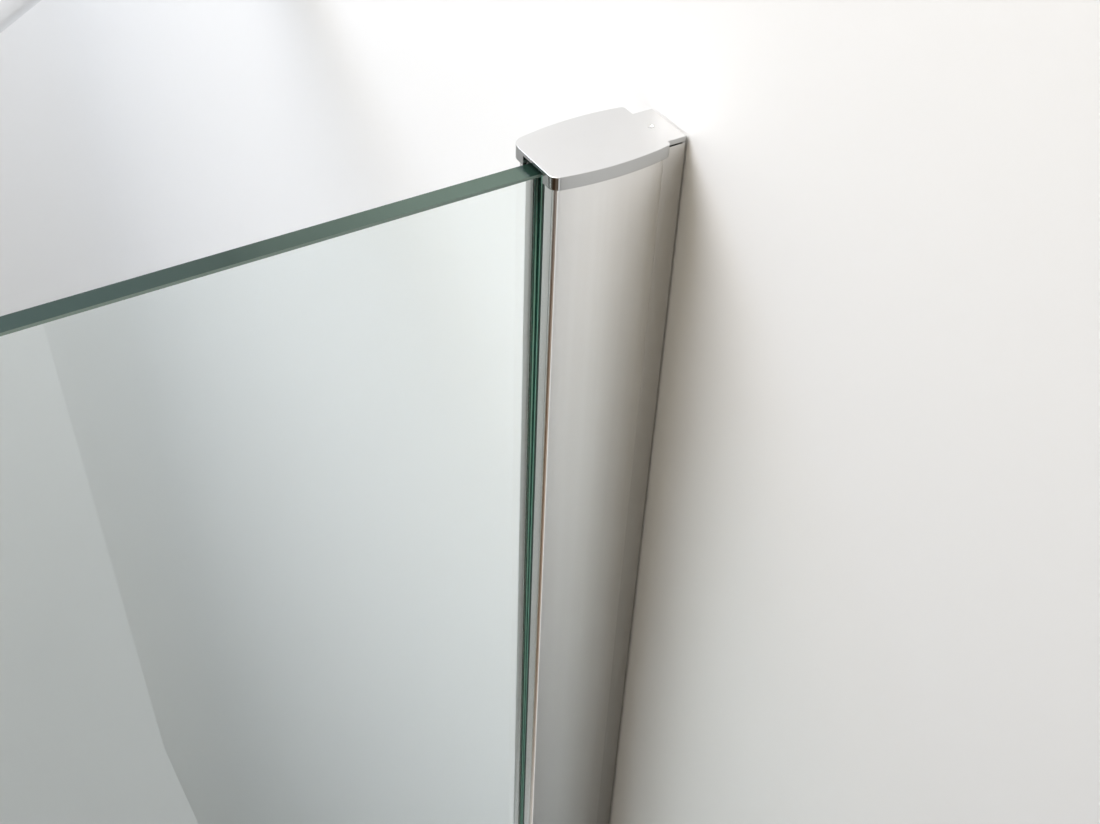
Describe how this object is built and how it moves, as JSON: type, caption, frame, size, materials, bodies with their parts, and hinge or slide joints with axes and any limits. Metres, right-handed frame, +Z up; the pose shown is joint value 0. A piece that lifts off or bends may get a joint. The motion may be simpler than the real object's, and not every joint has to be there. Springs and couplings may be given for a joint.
{
  "type": "corner shower enclosure",
  "caption": "Corner shower enclosure with fixed glass panes in wall profiles, hinged glass doors that open outwards from the corner, braces, seals and handles.",
  "frame": {"origin": "centre of the footprint's bounding square on the floor; the wall planes are X = -0.4635 and Y = -0.4635", "axes": "+Z up; +X and +Y point out of the enclosure through the panes of side B and side A"},
  "size_m": [0.927, 0.927, 1.9553],
  "materials": {
    "clear_glass": "clear toughened glass with polished green edges",
    "bright_aluminium": "bright anodised, fine lengthwise brushing",
    "channel_aluminium": "satin anodised extrusion",
    "polished_cap": "polished bright metal",
    "chrome": "polished chrome",
    "wedge_rubber": "dark grey-green extruded gasket",
    "tape_rubber": "dark grey foam tape",
    "clear_seal": "clear soft vinyl",
    "magnet": "dark magnetic strip",
    "pad_rubber": "black fibre-rubber pads",
    "washer_plastic": "translucent nylon",
    "screw_steel": "plain stainless steel"
  },
  "bodies": {
    "enclosure_frame": {"wall_channel_a": "channel_aluminium", "frame_profile_a": "bright_aluminium", "top_cap_a": "polished_cap", "glazing_wedge_a": "wedge_rubber", "glazing_tape_a": "tape_rubber", "fixed_pane_a": "clear_glass", "foot_seal_a": "clear_seal", "hinge_fixed_leaf_a": "chrome", "hinge_fixed_backplate_a": "chrome", "brace_bar_a": "chrome", "brace_flange_a": "chrome", "brace_clamp_a": "chrome", "threshold_bar_a": "channel_aluminium", "wall_channel_b": "channel_aluminium", "frame_profile_b": "bright_aluminium", "top_cap_b": "polished_cap", "glazing_wedge_b": "wedge_rubber", "glazing_tape_b": "tape_rubber", "fixed_pane_b": "clear_glass", "foot_seal_b": "clear_seal", "hinge_fixed_leaf_b": "chrome", "hinge_fixed_backplate_b": "chrome", "brace_bar_b": "chrome", "brace_flange_b": "chrome", "brace_clamp_b": "chrome", "threshold_bar_b": "channel_aluminium", "setting_blocks": "pad_rubber", "lock_screws": "screw_steel", "hinge_pins": "chrome", "hinge_fixed_pads": "pad_rubber", "hinge_fixed_screws": "screw_steel", "brace_pads": "pad_rubber", "brace_screws": "screw_steel"},
    "door_a": {"hinge_door_leaf_a": "chrome", "hinge_door_backplate_a": "chrome", "hinge_door_pads_a": "pad_rubber", "hinge_door_screws_a": "screw_steel", "door_pane_a": "clear_glass", "magnet_seal_a": "clear_seal", "magnet_strip_a": "magnet", "hinge_seal_a": "clear_seal", "drip_seal_a": "clear_seal", "handle_outer_a": "chrome", "handle_inner_a": "chrome", "handle_rods_a": "screw_steel", "handle_washers_a": "washer_plastic"},
    "door_b": {"hinge_door_leaf_b": "chrome", "hinge_door_backplate_b": "chrome", "hinge_door_pads_b": "pad_rubber", "hinge_door_screws_b": "screw_steel", "door_pane_b": "clear_glass", "magnet_seal_b": "clear_seal", "magnet_strip_b": "magnet", "hinge_seal_b": "clear_seal", "drip_seal_b": "clear_seal", "handle_outer_b": "chrome", "handle_inner_b": "chrome", "handle_rods_b": "screw_steel", "handle_washers_b": "washer_plastic"}
  },
  "joints": [
    {"name": "door_a_swing", "type": "hinge", "parent": "enclosure_frame", "child": "door_a", "pos_m": [-0.1605, 0.4305, 0.975], "axis": [0, 0, 1], "range_deg": [0, 100]},
    {"name": "door_b_swing", "type": "hinge", "parent": "enclosure_frame", "child": "door_b", "pos_m": [0.4305, -0.1605, 0.975], "axis": [0, 0, -1], "range_deg": [0, 100]}
  ]
}
